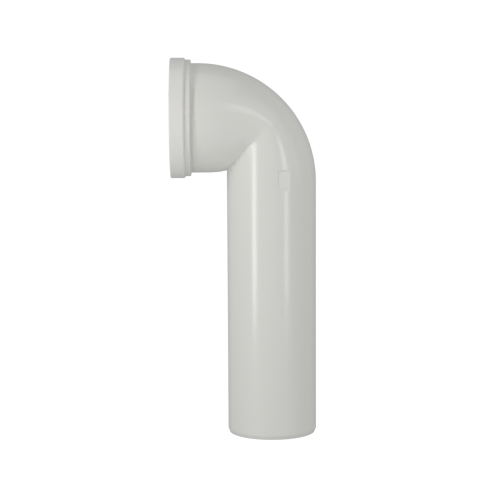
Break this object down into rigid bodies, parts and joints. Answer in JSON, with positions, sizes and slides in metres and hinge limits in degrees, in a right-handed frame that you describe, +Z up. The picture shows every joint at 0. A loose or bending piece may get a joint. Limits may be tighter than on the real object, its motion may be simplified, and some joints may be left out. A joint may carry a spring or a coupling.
{
  "type": "bent toilet pan connector",
  "caption": "Right-angle connector from a toilet pan's outlet to a drain: long bevelled tube, tight bend, and a socket with a snapped cap round a finned lip seal.",
  "frame": {"origin": "centre of the tube's open end", "axes": "+Z runs up the tube's axis, the socket opens towards -X, and the part is mirror-symmetrical about the XZ plane"},
  "size_m": [0.179, 0.148, 0.468],
  "materials": {
    "moulded_white": "satin gloss polypropylene, injection moulded, slightly warm white",
    "cap_white": "satin gloss polypropylene, a little whiter than the bend",
    "seal_rubber": "matt black moulded rubber"
  },
  "bodies": {
    "root": {"bend": "moulded_white", "seal_cap": "cap_white", "lip_seal": "seal_rubber"}
  },
  "joints": []
}
